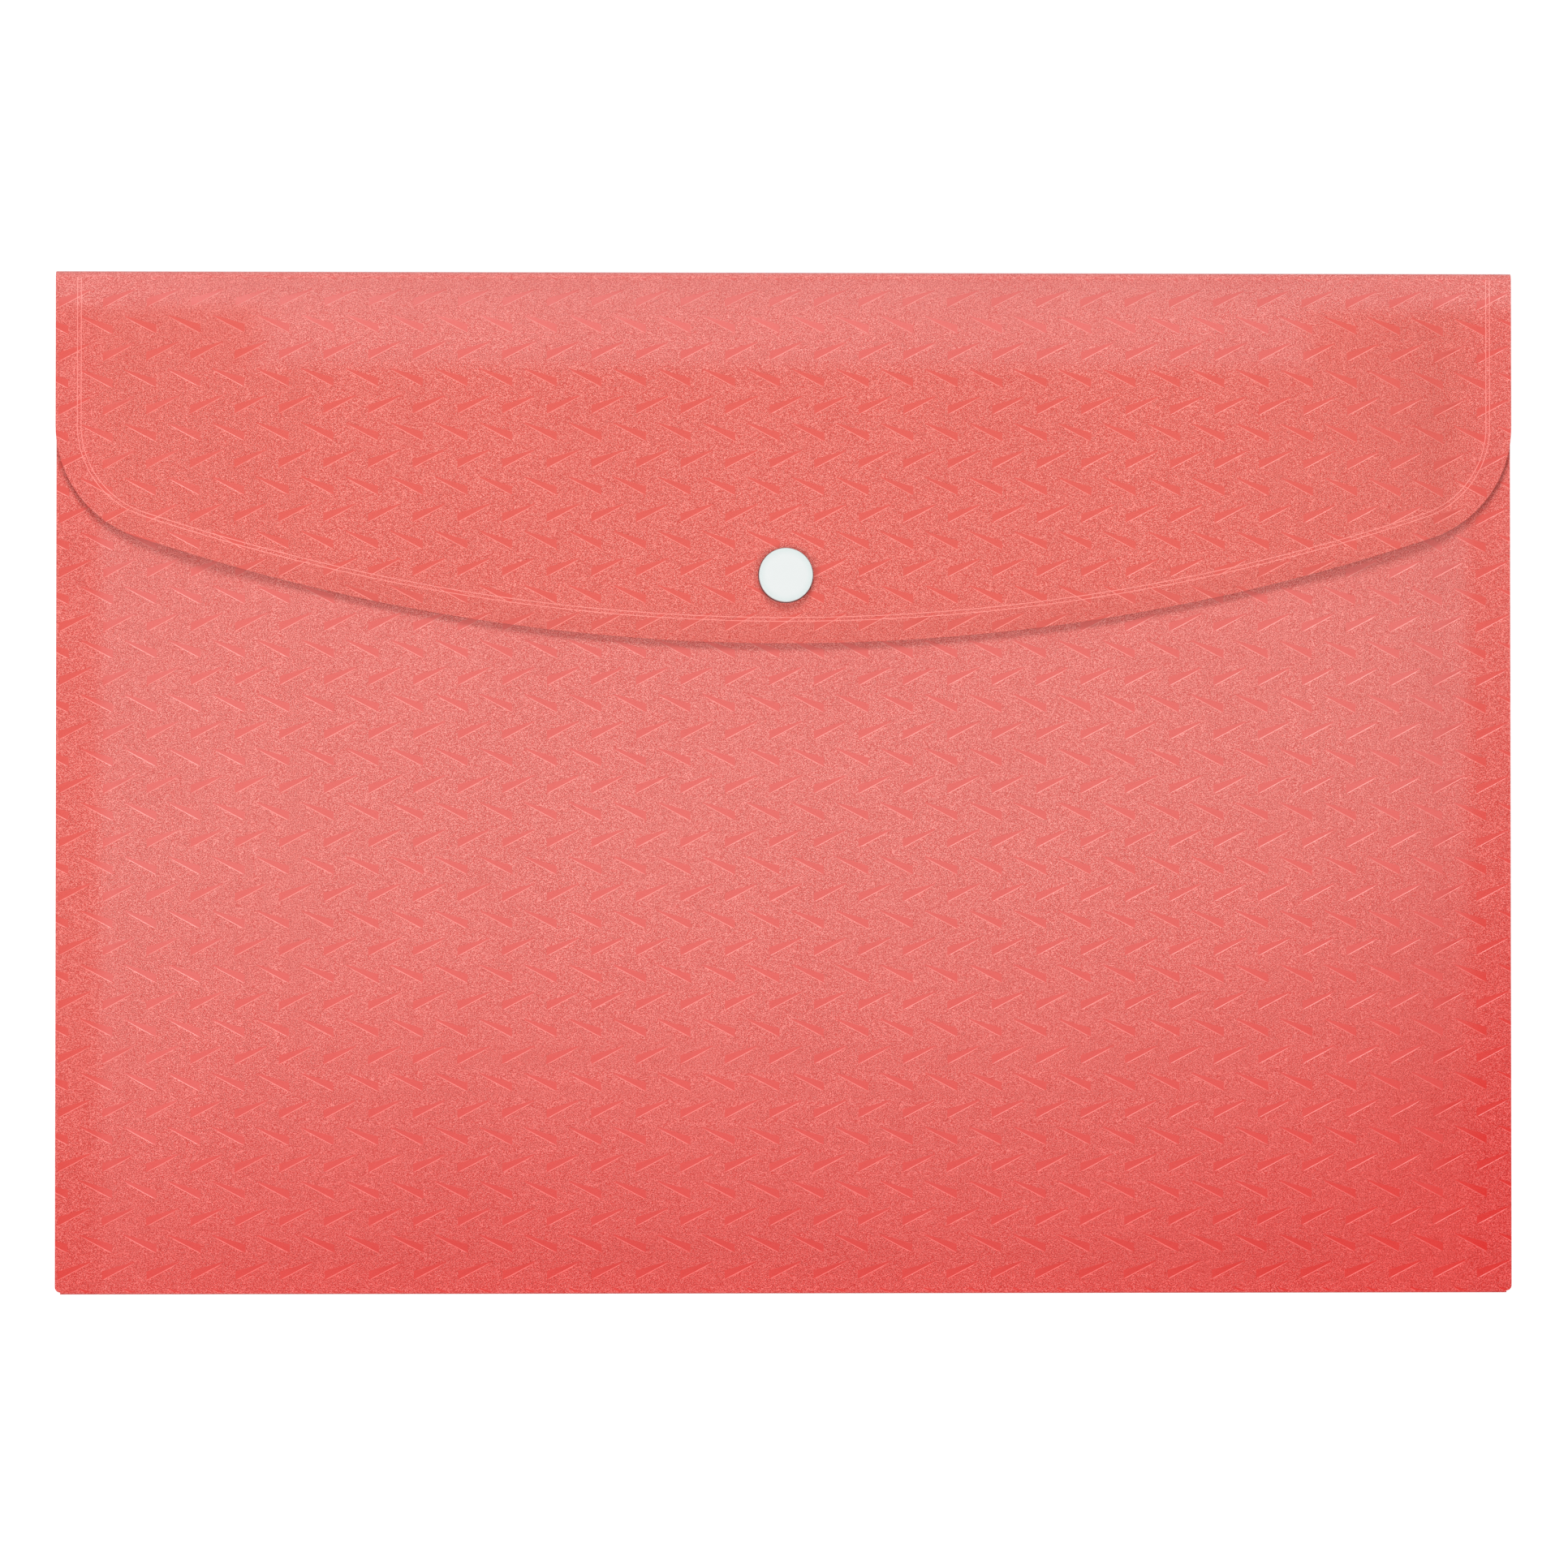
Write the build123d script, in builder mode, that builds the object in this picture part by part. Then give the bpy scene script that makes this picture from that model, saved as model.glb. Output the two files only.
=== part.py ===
"""A landscape document wallet: one folded plastic sheet, bonded down its sides, closed by a press stud.

The wallet lies on its back. X runs across it, +Y points to the fold that carries the flap, and +Z is
the side that the flap closes over. The origin is in the middle of the back, on the surface it lies on.
All sizes are in millimetres.
"""

import os

from build123d import *

# Driving dimensions: the folded sheet
wallet_width = 335.0
wallet_height = 235.0
sheet = 0.3
corner_radius = 1.2

# The pocket stands open for a stack of paper: its front rises from the tabs and from the bottom fold
pocket_rise = 5.0
side_rise_width = 50.0
bottom_rise_depth = 60.0
slope_excess = 0.5

# The front panel's upper edge, measured down from the top fold, and the thumb recess in it
mouth_drop = 8.6
recess_width = 240.0
recess_depth = 13.4

# The side tabs, folded in behind the front panel, and their bonds to it
tab_width = 10.0
tab_end_gap = 2.0
tab_end_cut = 3.0
bond_margin = 2.0
bond_end_gap = 8.0
bond_thickness = 0.1

# The flap: its depth from the top fold, the sweep of its lower edge, its corners, and the lip along the edge
flap_depth = 85.7
flap_edge_radius = 464.0
flap_corner_radius = 27.0
flap_gap = 1.7
flap_lip_width = 9.0
flap_lip_drop = 1.4
flap_lip_excess = 0.13

# The press stud: its place on the flap, the two caps, and the posts that rivet them on
snap_inset = 15.5
cap_diameter = 12.7
cap_height = 2.2
cap_crown = 0.35
cap_edge_radius = 0.45
inner_cap_height = 0.9
inner_cap_crown = 0.2
post_diameter = 2.4
post_clearance = 0.1
rivet_overhang = 0.4
rivet_height = 0.4
rivet_clearance = 0.05

# The press stud: the knob on the front panel, and the socket that goes over it
stud_flange = 0.55
knob_height = 1.2
knob_wall = 0.85
neck_cut = 0.25
knob_side_clearance = 0.25
knob_top_clearance = 0.1
socket_seat_gap = 0.1
socket_lip_height = 0.35
socket_lip_width = 0.3
socket_wall = 2.3
socket_grip = 0.55
snap_edge_radius = 0.2

# Lines across the wallet
top_y = wallet_height / 2
bottom_y = -wallet_height / 2
mouth_y = top_y - mouth_drop
recess_inner_radius = 0.6 * recess_depth
recess_outer_radius = 0.3 * recess_depth
flap_rise_depth = 2.6 * mouth_drop
flap_low_y = top_y - flap_depth
snap_y = flap_low_y + snap_inset

# Heights of the layers along the sides, where they lie on each other
back_top = sheet
tab_top = back_top + sheet
front_rim = tab_top + bond_thickness
flap_rim = front_rim + sheet + flap_gap

# Each fold is a half tube from the back panel round to the layer that it carries
top_fold_radius = (flap_rim + sheet) / 2
hinge_y = top_y - top_fold_radius
bottom_fold_radius = (front_rim + sheet) / 2
fold_y = bottom_y + bottom_fold_radius

# Radii of the press stud, from its posts outwards
post_radius = post_diameter / 2
post_hole_radius = post_radius + post_clearance
rivet_radius = post_radius + rivet_overhang
rivet_seat_radius = rivet_radius + rivet_clearance
knob_radius = rivet_radius + knob_wall
knob_top_radius = (knob_radius + rivet_seat_radius) / 2
lip_radius = knob_radius + knob_side_clearance
cavity_radius = lip_radius + socket_lip_width
socket_radius = cavity_radius + socket_wall
cap_radius = cap_diameter / 2

# Heights in the middle of the wallet, from the front panel up through the closed press stud to the flap
front_under = front_rim + pocket_rise
front_top = front_under + sheet
flange_top = front_top + stud_flange
knob_top = flange_top + knob_height
socket_low = flange_top + socket_seat_gap
socket_roof = knob_top + knob_top_clearance
stud_rivet_seat = knob_top - rivet_height
socket_rivet_seat = socket_roof + rivet_height
flap_under = socket_rivet_seat + socket_grip
flap_top = flap_under + sheet
flap_rise = flap_under - flap_rim

snap_axis = Axis((0, snap_y, 0), (0, 0, 1))
snap_section = Plane(origin=(0, snap_y, 0), x_dir=(1, 0, 0), z_dir=(0, -1, 0))
sweep_y = flap_low_y + flap_edge_radius
sweep_axis = Axis((0, sweep_y, 0), (0, 0, 1))
sweep_section = Plane(origin=(0, sweep_y, 0), x_dir=(1, 0, 0), z_dir=(0, -1, 0))
inner_side = {-1: Align.MIN, 1: Align.MAX}

# Levels safely under the wallet, for the lower ends of the spaces that are cut away
deep = -1.0
deeper = -2.0
deepest = -3.0


def space_below(rim, rise, foot_y, level_y):
    """All that lies under a raised surface: at height rim along its edges, and rise higher in the middle.

    The surface rises in arcs from the tabs and, between foot_y and level_y, from a fold. The slope from
    the fold aims a little higher than the middle, so that it meets the middle in a clear line.
    """
    crest = rim + rise
    slope_crest = crest + slope_excess
    side_x = wallet_width
    foot_x = wallet_width / 2 - tab_width
    level_x = foot_x - side_rise_width
    far_y = -2 * foot_y
    with BuildPart() as below:
        with BuildSketch(Plane.XZ):
            with BuildLine():
                Polyline((-foot_x, rim), (-side_x, rim), (-side_x, deeper), (side_x, deeper))
                Polyline((side_x, deeper), (side_x, rim), (foot_x, rim))
                TangentArc((level_x, crest), (foot_x, rim), tangent=(1, 0))
                Line((level_x, crest), (-level_x, crest))
                TangentArc((-level_x, crest), (-foot_x, rim), tangent=(-1, 0))
            make_face()
        extrude(amount=wallet_height, both=True)
        with BuildSketch(Plane.YZ):
            with BuildLine():
                Polyline((foot_y, rim), (foot_y, deep), (far_y, deep))
                Polyline((far_y, deep), (far_y, slope_crest), (level_y, slope_crest))
                TangentArc((level_y, slope_crest), (foot_y, rim), tangent=(foot_y - level_y, 0))
            make_face()
        extrude(amount=wallet_width, both=True, mode=Mode.INTERSECT)
    return below.part


def flap_space_below(rim):
    """All that lies under one face of the flap: raised in the middle, with a lip bent down along its edge."""
    crest = rim + flap_rise
    lip_start = (flap_edge_radius - flap_lip_width, crest + flap_lip_excess)
    lip_end = (flap_edge_radius, crest - flap_lip_drop)
    far = flap_edge_radius + flap_lip_width
    with BuildPart() as below:
        add(space_below(rim, flap_rise, hinge_y, hinge_y - flap_rise_depth))
        with BuildSketch(sweep_section):
            with BuildLine():
                Polyline(lip_end, (far, lip_end[1] - flap_lip_drop), (far, deepest), (0, deepest))
                Polyline((0, deepest), (0, lip_start[1]), lip_start)
                TangentArc(lip_start, lip_end, tangent=(1, 0))
            make_face()
        revolve(axis=sweep_axis, mode=Mode.INTERSECT)
    return below.part


def half_tube(centre_y, radius, length, away):
    """A fold of the sheet along X: half a tube that bulges to the side away (1 for +Y, -1 for -Y)."""
    with BuildPart() as tube:
        with BuildSketch(Plane.YZ):
            with Locations((centre_y, radius)):
                Circle(radius)
                Circle(radius - sheet, mode=Mode.SUBTRACT)
                Rectangle(2 * radius, 2 * radius, align=(inner_side[away], Align.CENTER), mode=Mode.SUBTRACT)
        extrude(amount=length / 2, both=True)
    return tube.part


def side_tab(side):
    """The tab on one side (1 for +X, -1 for -X): its half-round fold, and the leaf that lies on the back."""
    fold_x = side * (wallet_width / 2 - sheet)
    end_x = side * (wallet_width / 2 - tab_width)
    low_y = fold_y + tab_end_gap
    high_y = hinge_y - tab_end_gap
    with BuildPart() as tab:
        with BuildSketch(Plane.XY.offset(back_top)):
            with BuildLine():
                Polyline(
                    (fold_x, low_y),
                    (end_x, low_y + tab_end_cut),
                    (end_x, high_y - tab_end_cut),
                    (fold_x, high_y),
                    close=True,
                )
            make_face()
        extrude(amount=sheet)
        with BuildSketch(Plane.XZ.offset(-high_y)):
            with Locations((fold_x, back_top)):
                Circle(sheet)
                Rectangle(2 * sheet, 2 * sheet, align=(inner_side[side], Align.CENTER), mode=Mode.SUBTRACT)
        extrude(amount=high_y - low_y)
    return tab.part


def bond_strip(side):
    """The bond between the tab on one side and the front panel."""
    outer_x = wallet_width / 2 - sheet - bond_margin
    inner_x = wallet_width / 2 - tab_width + bond_margin
    length = mouth_y - fold_y - 2 * bond_end_gap
    with BuildPart() as strip:
        with Locations((side * (outer_x + inner_x) / 2, (mouth_y + fold_y) / 2, tab_top)):
            Box(outer_x - inner_x, length, bond_thickness, align=(Align.CENTER, Align.CENTER, Align.MIN))
    return strip.part


def cap_with_post(seat, height, crown, rivet_seat, way):
    """A press stud cap whose disc lies on the sheet at height seat, on the side way (1 is up, -1 is down).

    Its post goes through the sheet to the other side and ends in a rivet head that bears at rivet_seat.
    """
    tip = seat + way * height
    shoulder = tip - way * crown
    rivet_end = rivet_seat - way * rivet_height
    with BuildPart() as cap:
        with BuildSketch(snap_section) as section:
            with BuildLine():
                Polyline((0, tip), (0, rivet_end), (rivet_radius, rivet_end), (rivet_radius, rivet_seat))
                Polyline((rivet_radius, rivet_seat), (post_radius, rivet_seat), (post_radius, seat))
                Polyline((post_radius, seat), (cap_radius, seat), (cap_radius, shoulder))
                TangentArc((0, tip), (cap_radius, shoulder), tangent=(1, 0))
            make_face()
            fillet(section.vertices().sort_by_distance((cap_radius, shoulder))[0], cap_edge_radius)
        revolve(axis=snap_axis)
    return cap.part


# The back panel, between the side folds
with BuildPart() as back_panel:
    with BuildSketch() as back_outline:
        with Locations((0, fold_y)):
            Rectangle(wallet_width - 2 * sheet, hinge_y - fold_y, align=(Align.CENTER, Align.MIN))
        fillet(back_outline.vertices().group_by(Axis.Y)[0], corner_radius)
    extrude(amount=back_top)

# The front panel, with the thumb recess in its upper edge and a hole for the press stud
front_upper_space = space_below(front_rim + sheet, pocket_rise, fold_y, fold_y + bottom_rise_depth)
front_lower_space = space_below(front_rim, pocket_rise, fold_y, fold_y + bottom_rise_depth)
with BuildPart() as front_panel:
    with BuildSketch() as front_outline:
        with Locations((0, fold_y)):
            Rectangle(wallet_width, mouth_y - fold_y, align=(Align.CENTER, Align.MIN))
        fillet(front_outline.vertices().group_by(Axis.Y)[0], corner_radius)
        with Locations((0, mouth_y)):
            Rectangle(recess_width, 2 * recess_depth, mode=Mode.SUBTRACT)
        fillet(front_outline.vertices().group_by(Axis.Y)[-2], recess_inner_radius)
        fillet(front_outline.vertices().group_by(Axis.Y)[-1].sort_by(Axis.X)[1:3], recess_outer_radius)
        with Locations((0, snap_y)):
            Circle(post_hole_radius, mode=Mode.SUBTRACT)
    extrude(amount=flap_top)
    add(front_upper_space, mode=Mode.INTERSECT)
    add(front_lower_space, mode=Mode.SUBTRACT)

# The flap, with its swept lower edge and a hole for the press stud
flap_upper_space = flap_space_below(flap_rim + sheet)
flap_lower_space = flap_space_below(flap_rim)
with BuildPart() as flap:
    with BuildSketch() as flap_outline:
        with Locations((0, hinge_y)):
            Rectangle(wallet_width, 2 * flap_depth, align=(Align.CENTER, Align.MAX))
        with Locations((0, sweep_y)):
            Circle(flap_edge_radius, mode=Mode.INTERSECT)
        fillet(flap_outline.vertices().group_by(Axis.Y)[0], flap_corner_radius)
        with Locations((0, snap_y)):
            Circle(post_hole_radius, mode=Mode.SUBTRACT)
    extrude(amount=2 * flap_top)
    add(flap_upper_space, mode=Mode.INTERSECT)
    add(flap_lower_space, mode=Mode.SUBTRACT)

# The press stud's knob on the front panel
with BuildPart() as snap_stud:
    with BuildSketch(snap_section) as stud_section:
        with BuildLine():
            Polyline(
                (post_hole_radius, front_top),
                (socket_radius, front_top),
                (socket_radius, flange_top),
                (knob_radius - neck_cut, flange_top),
                (knob_radius, (flange_top + knob_top) / 2),
                (knob_top_radius, knob_top),
                (rivet_seat_radius, knob_top),
                (rivet_seat_radius, stud_rivet_seat),
                (post_hole_radius, stud_rivet_seat),
                close=True,
            )
        make_face()
        fillet(stud_section.vertices().sort_by_distance((socket_radius, flange_top))[0], snap_edge_radius)
    revolve(axis=snap_axis)

# The socket under the flap, which goes over the knob
with BuildPart() as snap_socket:
    with BuildSketch(snap_section) as socket_section:
        with BuildLine():
            Polyline(
                (post_hole_radius, flap_under),
                (socket_radius, flap_under),
                (socket_radius, socket_low),
                (lip_radius, socket_low),
                (lip_radius, socket_low + socket_lip_height),
                (cavity_radius, socket_low + socket_lip_height + socket_lip_width),
                (cavity_radius, socket_roof),
                (rivet_seat_radius, socket_roof),
                (rivet_seat_radius, socket_rivet_seat),
                (post_hole_radius, socket_rivet_seat),
                close=True,
            )
        make_face()
        fillet(socket_section.vertices().sort_by_distance((socket_radius, socket_low))[0], snap_edge_radius)
    revolve(axis=snap_axis)

pieces = {
    "back_panel": back_panel.part,
    "left_tab": side_tab(-1),
    "right_tab": side_tab(1),
    "left_bond_strip": bond_strip(-1),
    "right_bond_strip": bond_strip(1),
    "bottom_fold": half_tube(fold_y, bottom_fold_radius, wallet_width - 2 * corner_radius, -1),
    "front_panel": front_panel.part,
    "top_fold": half_tube(hinge_y, top_fold_radius, wallet_width, 1),
    "flap": flap.part,
    "snap_cap": cap_with_post(flap_top, cap_height, cap_crown, socket_rivet_seat, 1),
    "snap_socket": snap_socket.part,
    "snap_stud": snap_stud.part,
    "snap_stud_cap": cap_with_post(front_under, inner_cap_height, inner_cap_crown, stud_rivet_seat, -1),
}

os.makedirs("parts", exist_ok=True)
for name, piece in pieces.items():
    piece.label = name
    export_step(piece, f"parts/{name}.step")
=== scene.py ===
"""The looks of a document wallet: embossed, slightly translucent plastic sheet with a pale press stud, its
see-through look painted into its colour.

The wallet's lengths are in millimetres, and MM turns them into the metres of the scene.
"""

import math

import bpy
import numpy as np
from mathutils import Euler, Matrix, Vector
from mathutils.geometry import delaunay_2d_cdt


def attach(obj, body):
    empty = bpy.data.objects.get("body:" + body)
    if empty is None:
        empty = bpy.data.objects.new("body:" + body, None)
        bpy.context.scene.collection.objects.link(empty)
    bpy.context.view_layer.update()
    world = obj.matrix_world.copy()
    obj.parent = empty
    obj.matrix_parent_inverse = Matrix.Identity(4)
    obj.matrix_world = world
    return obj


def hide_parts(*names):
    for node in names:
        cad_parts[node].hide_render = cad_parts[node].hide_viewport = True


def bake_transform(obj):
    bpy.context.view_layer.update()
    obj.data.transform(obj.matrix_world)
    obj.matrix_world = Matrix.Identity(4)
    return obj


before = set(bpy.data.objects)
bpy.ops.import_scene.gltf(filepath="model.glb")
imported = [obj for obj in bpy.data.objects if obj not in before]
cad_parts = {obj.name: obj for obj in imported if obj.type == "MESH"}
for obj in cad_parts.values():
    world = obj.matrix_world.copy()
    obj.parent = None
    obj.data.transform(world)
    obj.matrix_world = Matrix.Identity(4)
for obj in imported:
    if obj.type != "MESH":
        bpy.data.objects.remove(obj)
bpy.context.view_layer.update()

MM = 0.001

# The folded sheet, as in the solids
wallet_width = 335.0
wallet_height = 235.0
sheet = 0.3
corner_radius = 1.2
tab_width = 10.0
front_rim = 0.7
flap_rim = 2.7
top_fold_radius = 1.5
bottom_fold_radius = 0.5
half_width = wallet_width / 2
top_y = wallet_height / 2
hinge_y = top_y - top_fold_radius
fold_y = -top_y + bottom_fold_radius

# The raised middle of the front panel and of the flap
pocket_rise = 5.0
flap_rise = 6.1
side_rise_width = 50.0
bottom_rise_depth = 60.0
flap_rise_depth = 22.4
flap_rise_power = 2.6
foot_ease = 0.2
foot_x = half_width - tab_width

# The front panel's upper edge and its thumb recess
mouth_y = top_y - 8.6
recess_width = 240.0
recess_depth = 13.4
recess_x = recess_width / 2
recess_y = mouth_y - recess_depth
recess_inner_radius = 0.6 * recess_depth
recess_outer_radius = 0.3 * recess_depth

# The flap's edge, the lip bent down along it and the two lines embossed beside it
flap_low_y = top_y - 85.7
flap_edge_radius = 464.0
flap_corner_radius = 27.0
flap_sweep_y = flap_low_y + flap_edge_radius
flap_lip_width = 9.0
flap_lip_drop = 1.4
flap_lip_excess = 0.13
line_insets = (4.9, 5.75)
line_width = 0.2
line_height = 0.05

# The press stud's outer cap and its riveted post
snap_y = flap_low_y + 15.5
post_radius = 1.2
post_hole_radius = post_radius + 0.1
rivet_radius = post_radius + 0.4
rivet_low = 7.85
rivet_seat = rivet_low + 0.4
cap_radius = 6.35
cap_seat = 9.1
cap_top = cap_seat + 2.2
cap_crown = 0.12
cap_edge_radius = 0.2
cap_edge_from = 85
cap_edge_to = 10
cap_foot_width = 0.18
cap_foot_height = 0.7
cap_foot_bevel = 0.12

# The embossed marks, strokes that taper as they rise, leaning right and left in turn from row to row
mark_pitch_x = 10.2
mark_pitch_y = 6.2
mark_length = 7.4
mark_rise = 3.1
mark_foot = 2.0
mark_tip = 0.3
mark_depth = 0.08
mark_deep_shares = (0.12, 0.8)
mark_lip = 0.19

# Spacing of the points that carry the panels' curves
grid_step = 5.0
fine_step = 2.0
grid_margin = 1.0
merge_distance = 1e-4

# Steps along the curved edges and round the turned pieces
corner_steps = 6
flap_corner_steps = 20
flap_sweep_steps = 140
recess_outer_steps = 8
recess_inner_steps = 10
hole_steps = 24
fold_turn_steps = 24
fold_length_steps = 68
turned_steps = 96
cap_crown_steps = 8
cap_edge_steps = 6
fold_sharp_angle = 40
turned_sharp_angle = 50

# A panel's kinds of face, in the order of its materials
GRAIN, SMOOTH, RIDGE, EDGE = 0, 1, 2, 3


def ease(t):
    t = np.clip(t, 0, 1)
    return t * t * (3 - 2 * t)


def side_lift(x):
    """How far a panel is raised at x: 0 over the tabs, 1 in the level middle."""
    t = np.clip((foot_x - np.abs(x)) / side_rise_width, 0, 1)
    return (1 - (1 - t) ** 2) * ease(t / foot_ease)


def front_height(x, y):
    t = np.clip((y - fold_y) / bottom_rise_depth, 0, 1)
    return front_rim + pocket_rise * side_lift(x) * (1 - (1 - t) ** 2) * ease(t / foot_ease)


def flap_height(x, y):
    t = np.clip((hinge_y - y) / flap_rise_depth, 0, 1)
    raised = flap_rim + flap_rise * side_lift(x) * (1 - (1 - t) ** flap_rise_power)
    past = np.hypot(x, y - flap_sweep_y) - flap_edge_radius + flap_lip_width
    bend = (np.clip(past, 0, None) / flap_lip_width) ** 2
    lip = flap_rim + flap_rise + flap_lip_excess - (flap_lip_excess + flap_lip_drop) * bend
    return np.minimum(raised, lip)


def back_height(x, y):
    return np.zeros_like(x)


def arc(centre, radius, start, end, steps):
    """Points on an arc, in degrees, both ends included."""
    angles = np.radians(np.linspace(start, end, steps + 1))
    return [(centre[0] + radius * math.cos(a), centre[1] + radius * math.sin(a)) for a in angles]


def flap_edge(inset):
    """The flap's side, corner and lower edge, moved inwards by inset.

    The points run from the right end of the hinge to the left end.
    """
    corner_x = half_width - flap_corner_radius
    reach = flap_edge_radius - flap_corner_radius
    corner_y = flap_sweep_y - math.sqrt(reach**2 - corner_x**2)
    turn = math.degrees(math.atan2(corner_y - flap_sweep_y, corner_x))
    side_x = half_width - inset
    corner = flap_corner_radius - inset
    sweep = arc((0, flap_sweep_y), flap_edge_radius - inset, turn, -180 - turn, flap_sweep_steps)
    points = [(side_x, hinge_y)]
    points += arc((corner_x, corner_y), corner, 0, turn, flap_corner_steps)
    points += sweep[1:-1]
    points += arc((-corner_x, corner_y), corner, -180 - turn, -180, flap_corner_steps)
    points += [(-side_x, hinge_y)]
    return points


def bottom_corners(side_x):
    """The two rounded corners at the bottom fold, from left to right."""
    low = corner_radius
    points = arc((-side_x + low, fold_y + low), low, 180, 270, corner_steps)
    return points + arc((side_x - low, fold_y + low), low, 270, 360, corner_steps)


def front_edge():
    """The front panel's outline: the bottom corners, the upper edge and the thumb recess in it."""
    inner = recess_inner_radius
    outer = recess_outer_radius
    points = bottom_corners(half_width)
    points += [(half_width, mouth_y)]
    points += arc((recess_x + outer, mouth_y - outer), outer, 90, 180, recess_outer_steps)
    points += arc((recess_x - inner, recess_y + inner), inner, 0, -90, recess_inner_steps)
    points += arc((-recess_x + inner, recess_y + inner), inner, -90, -180, recess_inner_steps)
    points += arc((-recess_x - outer, mouth_y - outer), outer, 0, 90, recess_outer_steps)
    points += [(-half_width, mouth_y)]
    return points


def back_edge():
    side_x = half_width - sheet
    return bottom_corners(side_x) + [(side_x, hinge_y), (-side_x, hinge_y)]


def corners(places):
    return [(float(x), float(y)) for x, y in places]


def mark_place(row, column):
    """A mark's middle, and 1 or -1 for the side that it leans to."""
    lean = 1 - 2 * (row % 2)
    return (column + row % 2 / 2) * mark_pitch_x, row * mark_pitch_y, lean


def mark(x, y, lean):
    """One embossed stroke: a smooth face that dips towards its lower side, and the thin lip that ends it.

    The dip fades out at both ends of the stroke.
    """
    foot = np.array((x - lean * mark_length / 2, y - mark_rise / 2))
    tip = np.array((x + lean * mark_length / 2, y + mark_rise / 2))
    upper = [foot + (0, mark_foot / 2), tip + (0, mark_tip / 2)]
    ends = [foot - (0, mark_foot / 2), tip - (0, mark_tip / 2)]
    deep = [ends[0] + share * (ends[1] - ends[0]) for share in mark_deep_shares]
    outer = [place - (0, mark_lip) for place in deep]
    face = corners([ends[0], *deep, ends[1], *upper[::-1]])
    lip = corners([ends[0], *outer, ends[1], *deep[::-1]])
    low = -mark_depth
    return (face, [0, low, low, 0, 0, 0], SMOOTH), (lip, [0, 0, 0, 0, low, low], RIDGE)


def marks(outline):
    """All marks that lie over a panel, cut off at its edge as the sheet was."""
    spread = np.array(outline)
    columns = int(half_width / mark_pitch_x) + 1
    low_row = math.floor(spread[:, 1].min() / mark_pitch_y)
    high_row = math.ceil(spread[:, 1].max() / mark_pitch_y)
    shapes = []
    for row in range(low_row, high_row + 1):
        for column in range(-columns, columns + 1):
            shapes += mark(*mark_place(row, column))
    return shapes


def on_mark(x, y):
    """Whether a point lies on or close to a mark."""
    row = round(y / mark_pitch_y)
    column = round(x / mark_pitch_x - row % 2 / 2)
    mark_x, mark_y, lean = mark_place(row, column)
    along = lean * (x - mark_x)
    above = y - mark_y - along * mark_rise / mark_length
    return abs(along) < mark_length / 2 + mark_lip and abs(above) < mark_foot / 2 + 2 * mark_lip


def edge_lines():
    """The two lines embossed along the flap's edge, each a low ridge with two slopes."""
    shapes = []
    for inset in line_insets:
        rails = [flap_edge(inset + share * line_width) for share in (0, 0.5, 1)]
        heights = (0.0, line_height, 0.0)
        for k in (0, 1):
            points = rails[k] + rails[k + 1][::-1]
            depths = [heights[k]] * len(rails[k]) + [heights[k + 1]] * len(rails[k + 1])
            shapes.append((points, depths, RIDGE))
    return shapes


def grid_points(outline):
    """Points over a panel, closer together where the flap curves up from its hinge."""
    spread = np.array(outline)
    low, high = spread.min(0), spread.max(0)
    slope_y = high[1] - flap_rise_depth
    columns = np.arange(low[0] + grid_step / 2, high[0], grid_step)
    wide_rows = np.arange(low[1] + grid_margin, slope_y, grid_step)
    close_rows = np.arange(slope_y, high[1] - grid_margin, fine_step)
    rows = np.concatenate([wide_rows, close_rows])
    return [(x, y) for x in columns for y in rows if not on_mark(x, y)]


def divided(outline):
    """The outline with points added along its straight sides."""
    points = []
    for start, end in zip(outline, outline[1:] + outline[:1]):
        count = math.ceil(math.dist(start, end) / grid_step)
        (x, y), (end_x, end_y) = start, end
        for share in np.arange(count) / count:
            points.append((x + share * (end_x - x), y + share * (end_y - y)))
    return points


def counterclockwise(ring):
    following = np.roll(ring, -1, axis=0)
    return np.sum(ring[:, 0] * following[:, 1] - ring[:, 1] * following[:, 0]) > 0


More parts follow.
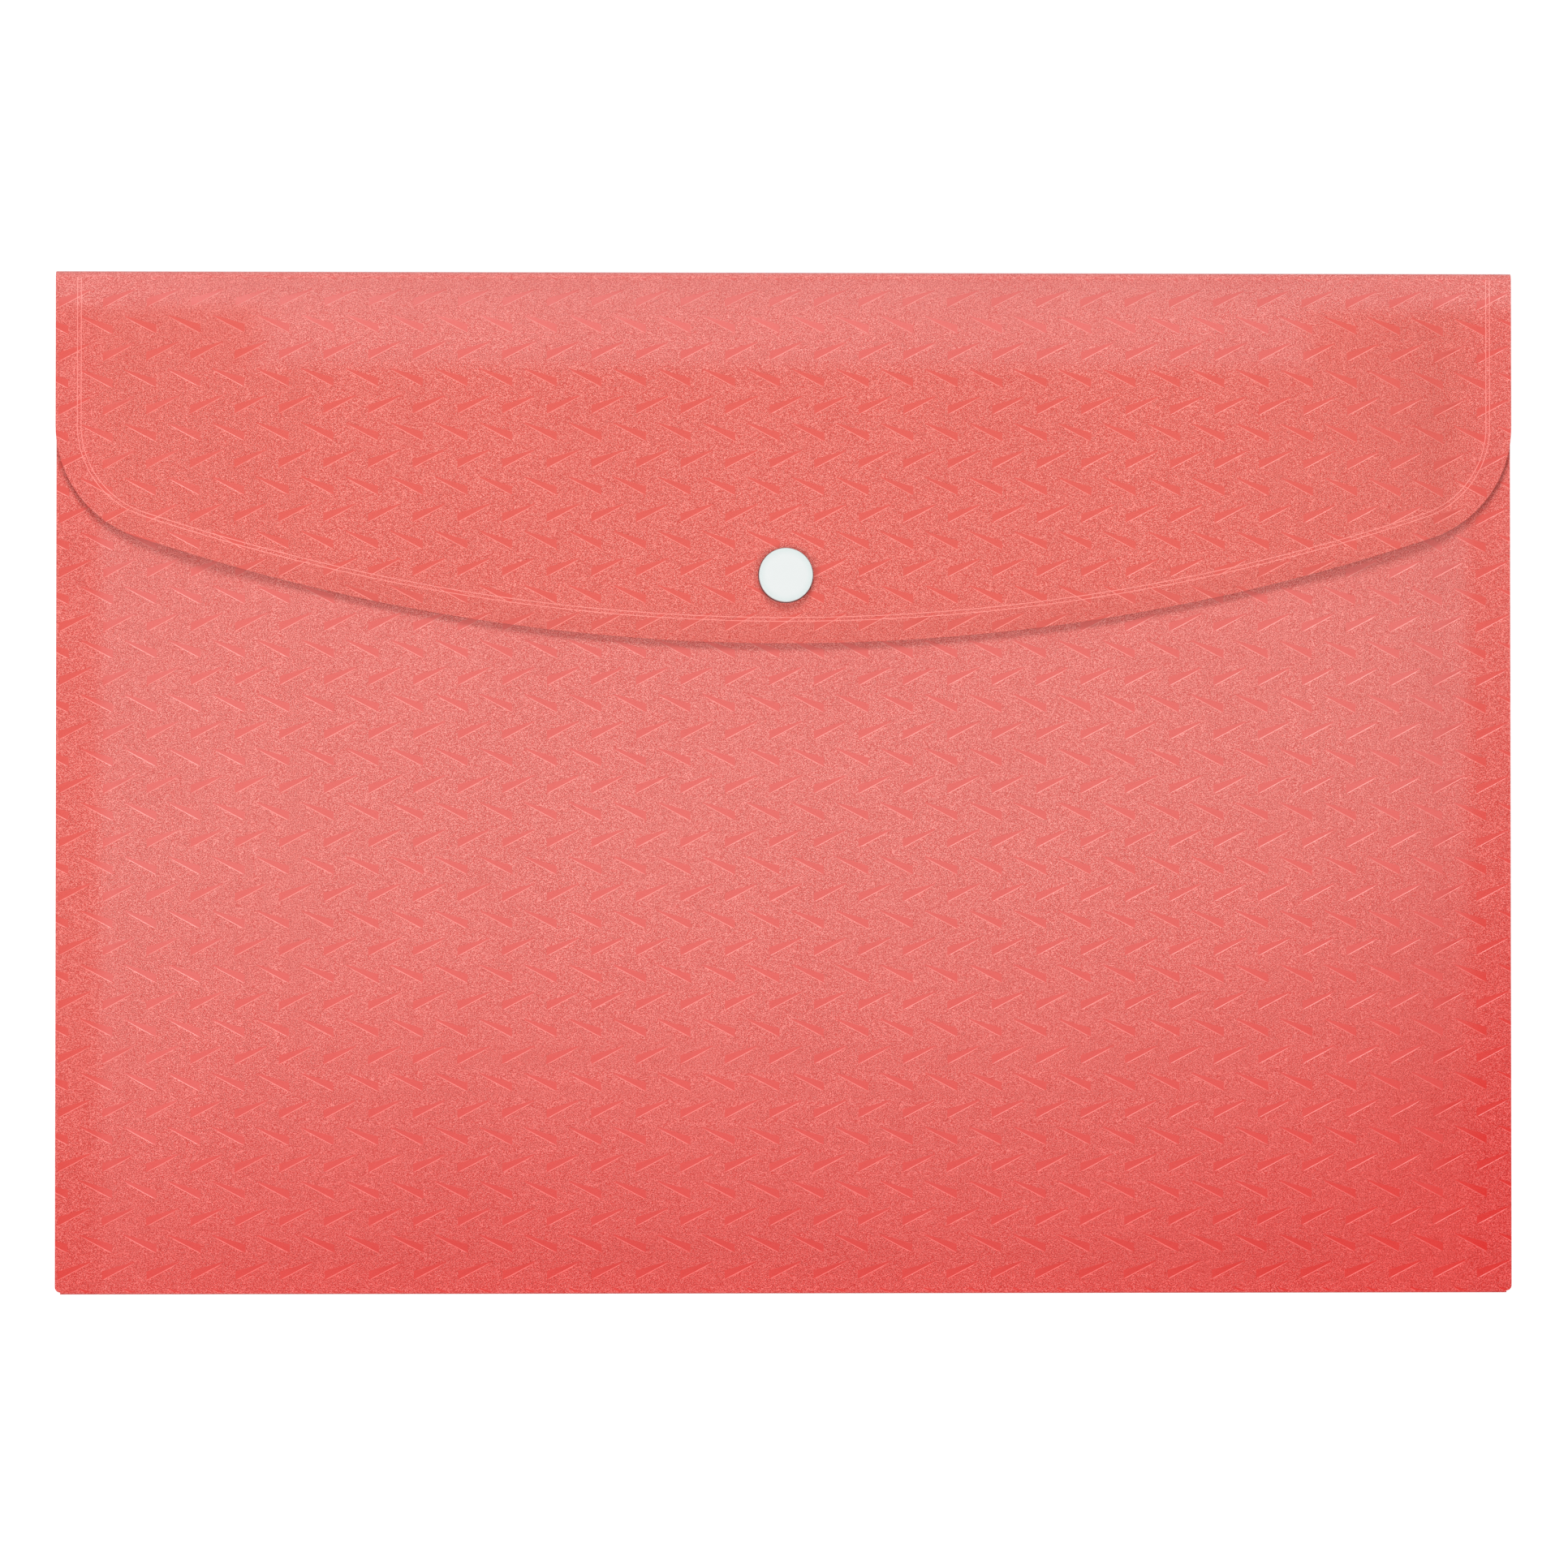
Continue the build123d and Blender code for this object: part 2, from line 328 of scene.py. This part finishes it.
def panel(name, outline, hole, height, shapes, outer):
    """A sheet of the wallet, embossed with shapes on both sides.

    Its outer face is up where outer is 1, and down where outer is -1.
    """
    points, depths, rings, kinds = [], [], [], []
    edge = divided(outline)
    regions = [(edge, [0.0] * len(edge), GRAIN)] + ([hole] if hole else []) + shapes
    for ring_points, ring_depths, kind in regions:
        ring = list(range(len(points), len(points) + len(ring_points)))
        rings.append(ring if counterclockwise(np.array(ring_points)) else ring[::-1])
        kinds.append(kind)
        points += ring_points
        depths += ring_depths
    loose = grid_points(outline)
    points += loose
    depths += [0.0] * len(loose)
    flat_points = [Vector(p) for p in points]
    cut = delaunay_2d_cdt(flat_points, [], rings, 0, merge_distance)
    cut_points, _, cut_faces, from_points, _, from_rings = cut
    plane = np.array([(v.x, v.y) for v in cut_points])
    relief = np.array([max((depths[i] for i in own), key=abs, default=0.0) for own in from_points])
    faces, face_kinds = [], []
    for face, inside in zip(cut_faces, from_rings):
        if 0 not in inside or (hole and 1 in inside):
            continue
        faces.append(face)
        face_kinds.append(max(kinds[i] for i in inside))
    used = sorted({v for face in faces for v in face})
    place_of = {v: i for i, v in enumerate(used)}
    faces = [[place_of[v] for v in face] for face in faces]
    plane = plane[used]
    low = height(plane[:, 0], plane[:, 1]) + outer * relief[used]
    count = len(plane)
    places = np.concatenate([np.column_stack([plane, low + sheet]), np.column_stack([plane, low])])
    sides = {side for face in faces for side in zip(face, face[1:] + face[:1])}
    rim = [(b, a, a + count, b + count) for a, b in sides if (b, a) not in sides]
    under = [[v + count for v in reversed(face)] for face in faces]
    mesh = smooth_mesh(name, places * MM, faces + under + rim)
    mesh.polygons.foreach_set("material_index", face_kinds * 2 + [EDGE] * len(rim))
    sharpen(mesh)
    return link(name, mesh)


def sharpen(mesh):
    """Keeps a clear edge round every embossed shape and along the cut edges of the sheet."""
    kinds = {}
    for polygon in mesh.polygons:
        for key in polygon.edge_keys:
            kinds.setdefault(key, set()).add(polygon.material_index)
    sharp = [len(kinds[tuple(sorted(edge.vertices))]) > 1 for edge in mesh.edges]
    mesh.attributes.new("sharp_edge", "BOOLEAN", "EDGE").data.foreach_set("value", sharp)


def smooth_mesh(name, places, faces):
    mesh = bpy.data.meshes.new(name)
    mesh.from_pydata(np.array(places).tolist(), [], faces)
    mesh.polygons.foreach_set("use_smooth", [True] * len(mesh.polygons))
    return mesh


def link(name, mesh):
    mesh.validate()
    made = bpy.data.objects.new(name, mesh)
    bpy.context.scene.collection.objects.link(made)
    return made


def fold_tube():
    """The top fold: half a tube of sheet, finely divided."""
    turns, lengths = fold_turn_steps, fold_length_steps
    places, faces = [], []
    for radius in (top_fold_radius, top_fold_radius - sheet):
        for y, z in arc((hinge_y, top_fold_radius), radius, -90, 90, turns):
            for x in np.linspace(-half_width, half_width, lengths + 1):
                places.append((x * MM, y * MM, z * MM))
    row = lengths + 1
    layer = row * (turns + 1)
    for k in range(turns):
        for i in range(lengths):
            a = k * row + i
            faces.append((a, a + row, a + row + 1, a + 1))
            faces.append((layer + a, layer + a + 1, layer + a + row + 1, layer + a + row))
        for a, turn in ((k * row, 1), (k * row + lengths, -1)):
            faces.append((a, layer + a, layer + a + row, a + row)[::turn])
    for i in range(lengths):
        for a, turn in ((i, 1), (turns * row + i, -1)):
            faces.append((a, a + 1, layer + a + 1, layer + a)[::turn])
    mesh = smooth_mesh("top_fold_sheet", places, faces)
    mesh.set_sharp_from_angle(angle=math.radians(fold_sharp_angle))
    return link("top_fold_sheet", mesh)


def turned(name, profile):
    """A piece turned about the press stud's axis.

    The profile gives radii and heights, and starts and ends on the axis.
    """
    steps = turned_steps
    places, faces = [(0, snap_y * MM, profile[0][1] * MM)], []
    rings = profile[1:-1]
    for radius, z in rings:
        for x, y in arc((0, snap_y), radius, 0, 360, steps)[:-1]:
            places.append((x * MM, y * MM, z * MM))
    places.append((0, snap_y * MM, profile[-1][1] * MM))
    last = len(places) - 1
    for i in range(steps):
        j = (i + 1) % steps
        faces.append((0, 1 + i, 1 + j))
        for k in range(len(rings) - 1):
            a, b = 1 + k * steps, 1 + (k + 1) * steps
            faces.append((a + i, b + i, b + j, a + j))
        faces.append((last, last - steps + j, last - steps + i))
    mesh = smooth_mesh(name, places, faces)
    mesh.set_sharp_from_angle(angle=math.radians(turned_sharp_angle))
    return link(name, mesh)


def cap_profile():
    """The outer cap: a low crown, a rounded edge, a wall that widens into a thin foot, and the post."""
    wall_radius = cap_radius - cap_foot_width
    crown_radius = wall_radius - cap_edge_radius
    shares = np.linspace(0, 1, cap_crown_steps + 1)
    profile = [(crown_radius * t, cap_top - cap_crown * t**2) for t in shares]
    edge_centre = (crown_radius, cap_top - cap_crown - cap_edge_radius)
    profile += arc(edge_centre, cap_edge_radius, cap_edge_from, cap_edge_to, cap_edge_steps)
    profile += [(wall_radius, cap_seat + cap_foot_height), (cap_radius, cap_seat + cap_foot_bevel)]
    profile += [(cap_radius - cap_foot_bevel, cap_seat), (post_radius, cap_seat), (post_radius, rivet_seat)]
    return profile + [(rivet_radius, rivet_seat), (rivet_radius, rivet_low), (0, rivet_low)]


# The sheet's colours, which are linear, with painted see-through light: paler where it is single, deeper
# where layers touch it from behind
open_tone = (1.000, 0.260, 0.220)
# Painted light: the flap paler towards its top fold, where the lamps leave it darker
crease_light_tone = (1.000, 0.270, 0.232)
# Painted see-through light: the back paler where it is the only layer
single_see_through_tone = (1.000, 0.405, 0.358)
# Painted shade: the pocket deeper towards the bottom and, leaning, towards the right
closed_shade_tone = (0.940, 0.036, 0.024)
# Painted see-through light: deeper where a second layer, or the bonded tabs, lie behind
layer_shade = (0.980, 0.762, 0.690)
tab_shade = (0.970, 0.682, 0.630)
layer_blur = 2.6
crease_light_reach = 14.0
shade_from_y = 0.0
shade_to_y = -160.0
shade_lean = 34.0
shade_side_lean = 17.0

# The sheet's surface: the grain, and what lifts and deepens the tone of its hills, valleys and marks; the
# lifts of the hills and ridges are painted highlights, and the valley shade is partly painted shade
white = (1.0, 1.0, 1.0)
grain_size = 0.22
grain_stretch = (0.95, 1.65, 1.0)
grain_twist = 0.4
grain_slope = (0.40, 0.60)
grain_depth = 0.20
pressed_grain = 0.1
hill_highlight_lift = 0.08
mark_lift = 0.030
# Painted highlight: the embossed lines and the marks' lips paler
ridge_highlight_lift = 0.145
# Partly the grain's deeper colour in its valleys, partly painted shade there; the cloud's random patches
# also use it
valley_shade = (0.740, 0.390, 0.380)
mark_shade = (0.760, 0.545, 0.560)
ridge_shade = (0.930, 0.800, 0.790)
edge_shade = (0.700, 0.300, 0.300)
valley_roughness = 0.34
hill_roughness = 0.24
sheet_specular = 0.5
mark_specular = 0.15
ridge_specular = 0.25
cloud_size = 30.0
cloud_slope = (0.35, 0.65)
cloud_share = 0.06

# The press stud's plastic
cap_tone = (0.775, 0.803, 0.797)
cap_rim_tone = (0.700, 0.762, 0.750)
# Painted shade: a dark band round the cap's foot, for the shadow at its base
cap_foot_shade_tone = (0.090, 0.070, 0.075)
cap_rim_from = cap_radius - 2.0
cap_rim_to = cap_radius - 0.4
cap_shade_from_z = cap_seat + cap_foot_height + 0.15
cap_shade_to_z = cap_seat + cap_foot_height - 0.1
snap_cloud_size = 1.2
snap_cloud_slope = (0.3, 0.7)
snap_roughness = (0.30, 0.34)
snap_bump = 0.015
snap_bump_depth = 0.02


class Nodes:
    """A material's node tree, with short calls for the nodes that are used here."""

    def __init__(self, name):
        self.material = bpy.data.materials.new(name)
        self.material.use_nodes = True
        self.tree = self.material.node_tree
        self.shader = self.tree.nodes["Principled BSDF"]

    def node(self, kind, **settings):
        made = self.tree.nodes.new(kind)
        for key, value in settings.items():
            setattr(made, key, value)
        return made

    def set(self, socket, value):
        """Joins a socket to a node's output, or gives it a number or colour."""
        if isinstance(value, bpy.types.NodeSocket):
            self.tree.links.new(value, socket)
        elif isinstance(value, tuple):
            socket.default_value = (*value, 1.0)
        else:
            socket.default_value = value

    def paint(self, **values):
        """Sets the shader's sockets, whose names are written with _ for a space."""
        for key, value in values.items():
            self.set(self.shader.inputs[key.replace("_", " ")], value)

    def math(self, operation, first, second=0.0):
        made = self.node("ShaderNodeMath", operation=operation)
        self.set(made.inputs[0], first)
        self.set(made.inputs[1], second)
        return made.outputs[0]

    def step(self, value, low, high, least=0.0, most=1.0):
        """Least below low, most above high, and a smooth change between."""
        made = self.node("ShaderNodeMapRange", interpolation_type="SMOOTHSTEP")
        for key, number in zip(("From Min", "From Max", "To Min", "To Max"), (low, high, least, most)):
            made.inputs[key].default_value = number
        self.set(made.inputs["Value"], value)
        return made.outputs["Result"]

    def mix(self, share, first, second, blend_type="MIX"):
        made = self.node("ShaderNodeMix", data_type="RGBA", blend_type=blend_type)
        self.set(made.inputs["Factor"], share)
        self.set(made.inputs[6], first)
        self.set(made.inputs[7], second)
        return made.outputs[2]

    def places(self):
        """The point's own coordinates on its piece: all three, and X, Y and Z in millimetres."""
        whole = self.node("ShaderNodeTexCoord").outputs["Object"]
        axes = self.node("ShaderNodeSeparateXYZ")
        self.set(axes.inputs[0], whole)
        return whole, *(self.math("DIVIDE", axes.outputs[axis], MM) for axis in "XYZ")

    def stretch(self, place, factors):
        """Coordinates times a factor for each axis, where a factor below 1 lengthens a pattern."""
        made = self.node("ShaderNodeVectorMath", operation="MULTIPLY")
        self.set(made.inputs[0], place)
        made.inputs[1].default_value = factors
        return made.outputs[0]

    def noise(self, place, size, detail=2.0, distortion=0.0):
        """Noise whose features measure about size millimetres."""
        made = self.node("ShaderNodeTexNoise")
        self.set(made.inputs["Vector"], place)
        for key, number in zip(("Scale", "Detail", "Distortion"), (1 / (size * MM), detail, distortion)):
            made.inputs[key].default_value = number
        return made.outputs["Fac"]

    def bump(self, height, strength, depth):
        """A normal for a surface whose height varies by up to depth millimetres."""
        made = self.node("ShaderNodeBump")
        made.inputs["Strength"].default_value = strength
        made.inputs["Distance"].default_value = depth * MM
        self.set(made.inputs["Height"], height)
        return made.outputs["Normal"]


def pocket_colour(nodes, x, y):
    """Deeper over the side tabs, as painted see-through light, and towards the bottom and the right, as
    painted shade where the pocket lies closer and the light falls off.
    """
    tabs = nodes.step(nodes.math("ABSOLUTE", x), foot_x - layer_blur, foot_x + layer_blur)
    across = nodes.math("DIVIDE", x, half_width)
    slant = nodes.math("ADD", nodes.math("MULTIPLY", across, shade_lean), shade_side_lean)
    lean = nodes.math("MULTIPLY", nodes.math("MULTIPLY", across, across), slant)
    low_shade = nodes.step(nodes.math("SUBTRACT", y, lean), shade_to_y, shade_from_y, 1.0, 0.0)
    return nodes.mix(tabs, nodes.mix(low_shade, open_tone, closed_shade_tone), tab_shade, "MULTIPLY")


def back_colour(nodes, x, y):
    """As on the front panel, with painted see-through light above its recess, lighter where the back is the
    only layer.
    """
    single = nodes.step(y, recess_y - layer_blur, recess_y + layer_blur)
    return nodes.mix(single, pocket_colour(nodes, x, y), single_see_through_tone)


def flap_colour(nodes, x, y):
    """Deeper where the front panel lies behind the flap and lighter over its recess, as painted see-through
    light, and paler towards the crease, as painted light.
    """
    across = nodes.math("ABSOLUTE", x)
    over_tabs = nodes.step(across, foot_x - layer_blur, foot_x + layer_blur)
    below_mouth = nodes.step(y, mouth_y - layer_blur, mouth_y + layer_blur, 1.0, 0.0)
    tabs = nodes.math("MULTIPLY", below_mouth, over_tabs)
    beside = nodes.step(across, recess_x - 2 * layer_blur, recess_x + 2 * layer_blur)
    below = nodes.step(y, recess_y - layer_blur, recess_y + layer_blur, 1.0, 0.0)
    covered = nodes.math("MULTIPLY", below_mouth, nodes.math("MAXIMUM", beside, below))
    tone = nodes.mix(nodes.step(y, hinge_y - crease_light_reach, hinge_y), open_tone, crease_light_tone)
    shade = nodes.mix(tabs, nodes.mix(covered, white, layer_shade), tab_shade)
    return nodes.mix(1.0, tone, shade, "MULTIPLY")


def sheet_material(name, colour, lifts, shade, hill_share, grain=pressed_grain, specular=sheet_specular):
    """Coral plastic sheet with a worm-like grain, in a colour that depends on the place.

    The two lifts make its valleys and its hills paler, partly as painted highlights.
    Shade deepens the valleys, partly as painted shade, and the hills by hill_share of that.
    """
    nodes = Nodes(name)
    place, x, y, _ = nodes.places()
    height = nodes.noise(nodes.stretch(place, grain_stretch), grain_size, 0.0, grain_twist)
    worms = nodes.step(height, *grain_slope)
    tone = nodes.mix(nodes.step(worms, 0.0, 1.0, *lifts), colour(nodes, x, y), white)
    share = nodes.step(worms, 0.0, 1.0, 1.0, hill_share)
    cloud = nodes.step(nodes.noise(place, cloud_size), *cloud_slope, 0.0, cloud_share)
    tone = nodes.mix(cloud, nodes.mix(share, tone, shade, "MULTIPLY"), valley_shade, "MULTIPLY")
    nodes.paint(
        Base_Color=tone,
        Normal=nodes.bump(height, grain, grain_depth),
        Roughness=nodes.step(worms, 0.0, 1.0, valley_roughness, hill_roughness),
        Specular_IOR_Level=specular,
    )
    return nodes.material


def sheet_materials(place, colour):
    """The looks of the grain, the marks, the ridges and the cut edge, in the order of their kinds."""
    grain, stroke, ridge, edge = (f"sheet_{kind}_{place}" for kind in ("grain", "mark", "ridge", "edge"))
    return [
        sheet_material(grain, colour, (0.0, hill_highlight_lift), valley_shade, 0.0, grain=1.0),
        sheet_material(stroke, colour, (mark_lift, mark_lift), mark_shade, 1.0, specular=mark_specular),
        sheet_material(ridge, colour, (ridge_highlight_lift, ridge_highlight_lift), ridge_shade, 0.0, specular=ridge_specular),
        sheet_material(edge, colour, (0.0, 0.0), edge_shade, 1.0),
    ]


def snap_material(name, foot):
    """Pale moulded plastic with a greener rim, and painted shade, a dark band on its foot, where foot is
    true.
    """
    nodes = Nodes(name)
    place, x, y, z = nodes.places()
    from_axis = nodes.math("SUBTRACT", y, snap_y)
    squares = [nodes.math("MULTIPLY", side, side) for side in (x, from_axis)]
    radius = nodes.math("SQRT", nodes.math("ADD", *squares))
    tone = nodes.mix(nodes.step(radius, cap_rim_from, cap_rim_to), cap_tone, cap_rim_tone)
    if foot:
        # Painted shade on the foot
        low = nodes.step(z, cap_shade_to_z, cap_shade_from_z, 1.0, 0.0)
        tone = nodes.mix(low, tone, cap_foot_shade_tone)
    cloud = nodes.noise(place, snap_cloud_size, 0.0)
    nodes.paint(
        Base_Color=tone,
        Normal=nodes.bump(cloud, snap_bump, snap_bump_depth),
        Roughness=nodes.step(cloud, *snap_cloud_slope, *snap_roughness),
    )
    return nodes.material


def dress(piece, materials, body, node):
    for material in materials:
        piece.data.materials.append(material)
    if body:
        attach(piece, body)
    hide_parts(node)


# The pieces, and the looks of the solids that are shown as they are
hole_edge = arc((0, snap_y), post_hole_radius, 0, 360, hole_steps)[:-1]
stud_hole = (hole_edge, [0.0] * len(hole_edge), GRAIN)
pocket_materials = sheet_materials("pocket", pocket_colour)
back_materials = sheet_materials("back", back_colour)
flap_materials = sheet_materials("flap", flap_colour)

front_outline = front_edge()
front = panel("front_panel_sheet", front_outline, stud_hole, front_height, marks(front_outline), 1)
dress(front, pocket_materials, "pocket", "front_panel")

flap_outline = flap_edge(0.0)
flap_shapes = marks(flap_outline) + edge_lines()
flap = panel("flap_sheet", flap_outline, stud_hole, flap_height, flap_shapes, 1)
dress(flap, flap_materials, "flap", "flap")

back_outline = back_edge()
back = panel("back_panel_sheet", back_outline, None, back_height, marks(back_outline), -1)
dress(back, back_materials, "pocket", "back_panel")

fold = fold_tube()
dress(fold, [flap_materials[GRAIN]], None, "top_fold")
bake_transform(fold)

cap = turned("snap_cap_moulding", cap_profile())
dress(cap, [snap_material("cap_plastic", True)], "flap", "snap_cap")

snap_plastic = snap_material("snap_plastic", False)
for name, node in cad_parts.items():
    node.data.materials.clear()
    node.data.materials.append(snap_plastic if name.startswith("snap") else pocket_materials[GRAIN])

# The floor, in metres: white to the camera and still taking the wallet's shadow
floor_reach = 12.0
floor_z = -0.0002
floor_tone = (0.40, 0.40, 0.40)
floor_glow = (0.74, 0.74, 0.74)
floor_roughness = 0.9

floor_corners = [(x * floor_reach, y * floor_reach, 0) for x, y in ((-1, -1), (1, -1), (1, 1), (-1, 1))]
floor_mesh = smooth_mesh("floor", floor_corners, [(0, 1, 2, 3)])
floor = link("floor", floor_mesh)
floor.location.z = floor_z
floor_nodes = Nodes("floor_white")
ray = floor_nodes.node("ShaderNodeLightPath").outputs
seen = floor_nodes.math("MAXIMUM", ray["Is Camera Ray"], ray["Is Glossy Ray"])
seen = floor_nodes.math("MAXIMUM", seen, ray["Is Transmission Ray"])
floor_nodes.paint(
    Base_Color=floor_tone,
    Roughness=floor_roughness,
    Specular_IOR_Level=0.0,
    Emission_Color=floor_glow,
    Emission_Strength=seen,
)
floor_mesh.materials.append(floor_nodes.material)

# Light: a pale room, soft lamps on both sides and in front, and one beyond the flap's fold for the shadows
room_strength = 0.155
soft_lamp_size = 1.2
top_lamp_size = 0.8

world = bpy.data.worlds.new("room")
world.use_nodes = True
room = world.node_tree.nodes["Background"].inputs
room["Color"].default_value = (*white, 1.0)
room["Strength"].default_value = room_strength
bpy.context.scene.world = world


def lamp(name, place, size, watts):
    """A square lamp, in metres, that points at the origin."""
    light = bpy.data.lights.new(name, "AREA")
    light.size = size
    light.energy = watts
    made = bpy.data.objects.new(name, light)
    made.location = place
    made.rotation_euler = (-made.location).to_track_quat("-Z", "Y").to_euler()
    bpy.context.scene.collection.objects.link(made)


lamp("left_lamp", (-1.3, -0.4, 1.9), soft_lamp_size, watts=20.3)
lamp("right_lamp", (1.3, -0.4, 1.9), soft_lamp_size, watts=15.7)
lamp("front_lamp", (0.0, -1.1, 2.1), soft_lamp_size, watts=9.5)
lamp("top_lamp", (-0.15, 1.65, 1.75), top_lamp_size, watts=26.0)

# Camera: almost square on to the front, with its distance in metres and small shifts in millimetres
camera_distance = 1.2
camera_tilt = 0.86
camera_swing = -1.08
camera_aside = -0.24
camera_down = -0.31
camera_lens = 119.56
camera_sensor = 36.0

camera_turn = Euler((math.radians(camera_tilt), math.radians(camera_swing), 0))
camera_place = Vector((camera_aside * MM, camera_down * MM, camera_distance))
camera = bpy.data.cameras.new("camera")
camera.sensor_width = camera_sensor
camera.lens = camera_lens
camera_object = bpy.data.objects.new("camera", camera)
camera_object.location = camera_turn.to_matrix() @ camera_place
camera_object.rotation_euler = camera_turn
bpy.context.scene.collection.objects.link(camera_object)
bpy.context.scene.camera = camera_object

bpy.context.scene.view_settings.view_transform = "Standard"
